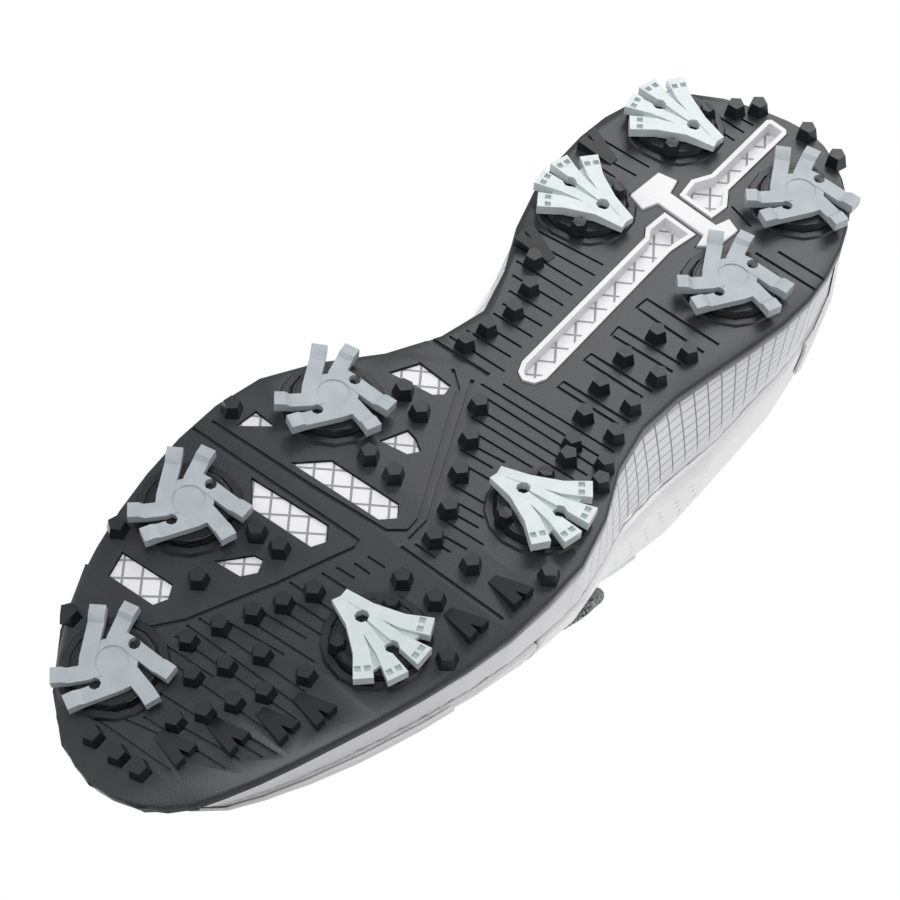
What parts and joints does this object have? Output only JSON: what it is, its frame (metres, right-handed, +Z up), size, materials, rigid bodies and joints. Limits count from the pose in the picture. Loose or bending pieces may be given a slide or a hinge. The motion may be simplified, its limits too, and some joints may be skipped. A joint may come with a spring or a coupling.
{
  "type": "golf shoe",
  "caption": "Right golf shoe with a spiked outsole, twist-in cleats, white plates in the sole, and a laced upper.",
  "frame": {"origin": "on the ground, under the middle of the bounding box", "axes": "+X from heel to toe, +Y to the inner (medial) side, +Z up"},
  "size_m": [0.2984, 0.108, 0.1193],
  "materials": {
    "outsole": "satin moulded",
    "cleat_base": "satin moulded",
    "swirl": "satin moulded",
    "fan": "gloss moulded",
    "plate": "satin moulded",
    "foam": "moulded foam skin",
    "leather": "smooth coated",
    "lining": "knitted",
    "lace": "heather braid",
    "aglet": "moulded",
    "board": "pressed board"
  },
  "bodies": {
    "shoe": {"outsole": "outsole", "chassis": "plate", "channel_bridge": "plate", "midsole": "foam", "swirl_receptacle_1": "cleat_base", "swirl_receptacle_2": "cleat_base", "swirl_receptacle_3": "cleat_base", "swirl_receptacle_4": "cleat_base", "swirl_receptacle_5": "cleat_base", "fan_receptacle_1": "cleat_base", "fan_receptacle_2": "cleat_base", "fan_receptacle_3": "cleat_base", "fan_receptacle_4": "cleat_base", "vamp": "leather", "quarter_lateral": "leather", "quarter_medial": "leather", "toe_mudguard": "leather", "heel_overlay": "leather", "eyestay_lateral": "leather", "eyestay_medial": "leather", "collar_padding": "lining", "heel_counter": "board", "toe_puff": "board", "tongue": "lining", "strobel_board": "board", "sockliner": "lining", "lace_row_1": "lace", "lace_row_2": "lace", "lace_row_3": "lace", "lace_row_4": "lace", "lace_row_5": "lace", "lace_row_6": "lace", "lace_knot": "lace", "lace_loop_lateral": "lace", "lace_end_lateral": "lace", "aglet_lateral": "aglet", "lace_loop_medial": "lace", "lace_end_medial": "lace", "aglet_medial": "aglet"},
    "swirl_twist_cleat_1": {"swirl_cleat_1": "swirl", "swirl_cleat_stud_1": "cleat_base"},
    "swirl_twist_cleat_2": {"swirl_cleat_2": "swirl", "swirl_cleat_stud_2": "cleat_base"},
    "swirl_twist_cleat_3": {"swirl_cleat_3": "swirl", "swirl_cleat_stud_3": "cleat_base"},
    "swirl_twist_cleat_4": {"swirl_cleat_4": "swirl", "swirl_cleat_stud_4": "cleat_base"},
    "swirl_twist_cleat_5": {"swirl_cleat_5": "swirl", "swirl_cleat_stud_5": "cleat_base"},
    "fan_twist_cleat_1": {"fan_cleat_1": "fan", "fan_cleat_stud_1": "cleat_base"},
    "fan_twist_cleat_2": {"fan_cleat_2": "fan", "fan_cleat_stud_2": "cleat_base"},
    "fan_twist_cleat_3": {"fan_cleat_3": "fan", "fan_cleat_stud_3": "cleat_base"},
    "fan_twist_cleat_4": {"fan_cleat_4": "fan", "fan_cleat_stud_4": "cleat_base"}
  },
  "joints": [
    {"name": "swirl_cleat_twist_1", "type": "hinge", "parent": "shoe", "child": "swirl_twist_cleat_1", "pos_m": [0.02712, 0.03116, 0], "axis": [0, 0, -1], "range_deg": [0, 60]},
    {"name": "swirl_cleat_twist_2", "type": "hinge", "parent": "shoe", "child": "swirl_twist_cleat_2", "pos_m": [0.07886, 0.03486, 0.00352], "axis": [0.1366, 0, -0.9906], "range_deg": [0, 60]},
    {"name": "swirl_cleat_twist_3", "type": "hinge", "parent": "shoe", "child": "swirl_twist_cleat_3", "pos_m": [0.12499, 0.01686, 0.01286], "axis": [0.2597, 0, -0.9657], "range_deg": [0, 60]},
    {"name": "swirl_cleat_twist_4", "type": "hinge", "parent": "shoe", "child": "swirl_twist_cleat_4", "pos_m": [-0.12228, -0.01114, 0], "axis": [0, 0, -1], "range_deg": [0, 60]},
    {"name": "swirl_cleat_twist_5", "type": "hinge", "parent": "shoe", "child": "swirl_twist_cleat_5", "pos_m": [-0.08328, -0.01814, 0], "axis": [0, 0, -1], "range_deg": [0, 60]},
    {"name": "fan_cleat_twist_1", "type": "hinge", "parent": "shoe", "child": "fan_twist_cleat_1", "pos_m": [-0.11848, 0.03166, 0], "axis": [0, 0, -1], "range_deg": [0, 60]},
    {"name": "fan_cleat_twist_2", "type": "hinge", "parent": "shoe", "child": "fan_twist_cleat_2", "pos_m": [-0.07648, 0.02996, 0], "axis": [0, 0, -1], "range_deg": [0, 60]},
    {"name": "fan_cleat_twist_3", "type": "hinge", "parent": "shoe", "child": "fan_twist_cleat_3", "pos_m": [0.01482, -0.03204, 0], "axis": [0, 0, -1], "range_deg": [0, 60]},
    {"name": "fan_cleat_twist_4", "type": "hinge", "parent": "shoe", "child": "fan_twist_cleat_4", "pos_m": [0.07529, -0.02894, 0.00304], "axis": [0.1271, 0, -0.9919], "range_deg": [0, 60]}
  ]
}
